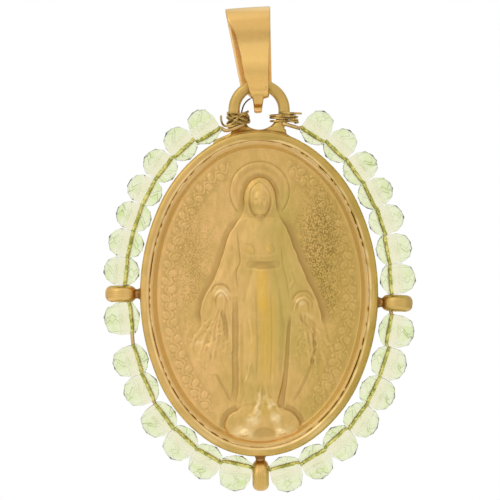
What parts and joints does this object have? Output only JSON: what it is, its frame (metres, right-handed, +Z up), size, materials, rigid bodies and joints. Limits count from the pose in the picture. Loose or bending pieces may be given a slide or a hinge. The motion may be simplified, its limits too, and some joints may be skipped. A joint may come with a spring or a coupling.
{
  "type": "religious pendant",
  "caption": "Oval relief medal with a standing veiled figure, set in a gilt band ringed by faceted glass beads on a wire, hanging by a round loop from a folded tapered bail.",
  "frame": {"origin": "where the neck chain lies in the bail's tunnel, above the middle of the medal", "axes": "+Z up when the pendant hangs, +Y towards the medal's back, +X to the viewer's right"},
  "size_m": [0.033, 0.004, 0.0513],
  "materials": {
    "gilt_frame": "polished",
    "gilt_medal": "satin",
    "gilt_bail": "polished",
    "gilt_wire": "polished",
    "green_glass": "gloss"
  },
  "bodies": {
    "bail": {"bail": "gilt_bail"},
    "pendant": {"frame": "gilt_frame", "medal": "gilt_medal", "wire": "gilt_wire", "bead_01": "green_glass", "bead_02": "green_glass", "bead_03": "green_glass", "bead_04": "green_glass", "bead_05": "green_glass", "bead_06": "green_glass", "bead_07": "green_glass", "bead_08": "green_glass", "bead_09": "green_glass", "bead_10": "green_glass", "bead_11": "green_glass", "bead_12": "green_glass", "bead_13": "green_glass", "bead_14": "green_glass", "bead_15": "green_glass", "bead_16": "green_glass", "bead_17": "green_glass", "bead_18": "green_glass", "bead_19": "green_glass", "bead_20": "green_glass", "bead_21": "green_glass", "bead_22": "green_glass", "bead_23": "green_glass", "bead_24": "green_glass", "bead_25": "green_glass", "bead_26": "green_glass", "bead_27": "green_glass", "bead_28": "green_glass"}
  },
  "joints": [
    {"name": "medal_swing", "type": "hinge", "parent": "bail", "child": "pendant", "pos_m": [0, 0, -0.00628], "axis": [1, 0, 0], "range_deg": [-75, 45]}
  ]
}
